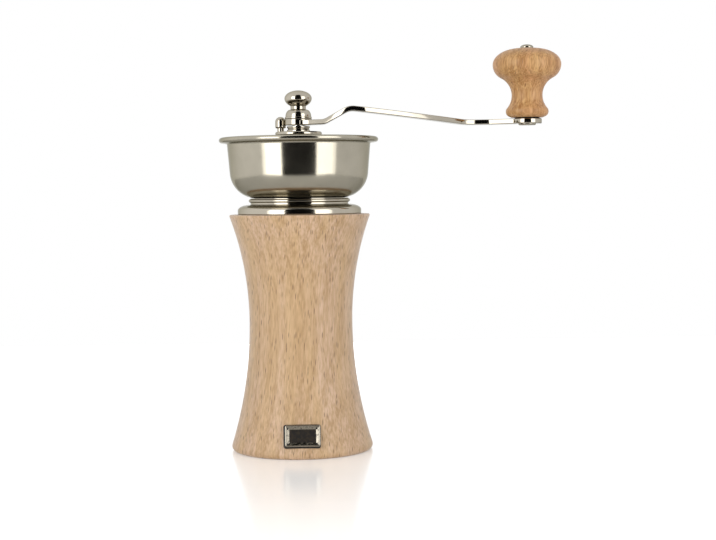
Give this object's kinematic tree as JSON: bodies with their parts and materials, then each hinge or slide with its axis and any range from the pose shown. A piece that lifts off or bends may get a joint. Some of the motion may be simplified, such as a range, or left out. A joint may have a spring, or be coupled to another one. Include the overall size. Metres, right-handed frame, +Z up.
{
  "type": "manual coffee grinder",
  "caption": "Hand-cranked coffee grinder: waisted wooden body, open metal bowl on a turned collar, conical burrs, grind-setting disc, and an S-shaped crank with a turned wooden knob.",
  "frame": {"origin": "centre of the flat foot that stands on the table", "axes": "+Z up along the spindle, +X towards the crank knob's side, -Y towards the blank plate"},
  "size_m": [0.1924, 0.0888, 0.2257],
  "materials": {
    "body_wood": "pale waxed beech with short dark flecks",
    "knob_wood": "warmer turned hardwood, satin varnish",
    "nickel_plate": "polished warm nickel plate",
    "plain_steel": "plain turned steel",
    "burr_steel": "hardened dark burr steel",
    "bearing_brass": "turned bearing brass",
    "seal_rubber": "black seal rubber"
  },
  "bodies": {
    "body": {"wooden_body": "body_wood", "name_plate": "nickel_plate", "plate_pins": "plain_steel"},
    "head": {"head_collar": "nickel_plate", "collar_seal": "seal_rubber", "hopper_bowl": "nickel_plate", "bridge": "nickel_plate", "bridge_screws": "plain_steel", "floor_screws": "plain_steel", "bridge_bush": "bearing_brass", "outer_burr": "burr_steel", "lower_bracket": "plain_steel", "bracket_screws": "plain_steel", "lower_bush": "bearing_brass"},
    "drive": {"drive_washer": "plain_steel"},
    "adjuster": {"adjusting_disc": "nickel_plate", "adjuster_knob": "nickel_plate"},
    "crank": {"spindle": "plain_steel", "inner_burr": "burr_steel", "burr_washer": "plain_steel", "burr_nut": "plain_steel", "crank_arm": "nickel_plate", "finial_nut": "nickel_plate", "crank_pin": "nickel_plate", "knob_washer": "plain_steel"},
    "knob": {"knob_sleeve": "bearing_brass", "crank_knob": "knob_wood"}
  },
  "joints": [
    {"name": "head_lift", "type": "slide", "parent": "body", "child": "head", "axis": [0, 0, 1], "range_m": [0, 0.06]},
    {"name": "crank_turn", "type": "hinge", "parent": "head", "child": "drive", "pos_m": [0, 0, 0.1745], "axis": [0, 0, 1], "continuous": true},
    {"name": "adjuster_turn", "type": "hinge", "parent": "drive", "child": "adjuster", "pos_m": [0, 0, 0.1768], "axis": [0, 0, 1], "range_deg": [-100, 100]},
    {"name": "grind_set", "type": "slide", "parent": "drive", "child": "crank", "axis": [0, 0, 1], "range_m": [-0.000275, 0.000275]},
    {"name": "knob_spin", "type": "hinge", "parent": "crank", "child": "knob", "pos_m": [0.1288, 0.00514, 0.204], "axis": [0, 0, 1], "continuous": true}
  ],
  "couplings": [
    {"joint": "adjuster_turn", "follows": "grind_set", "rad_per_m": -6283.2}
  ]
}
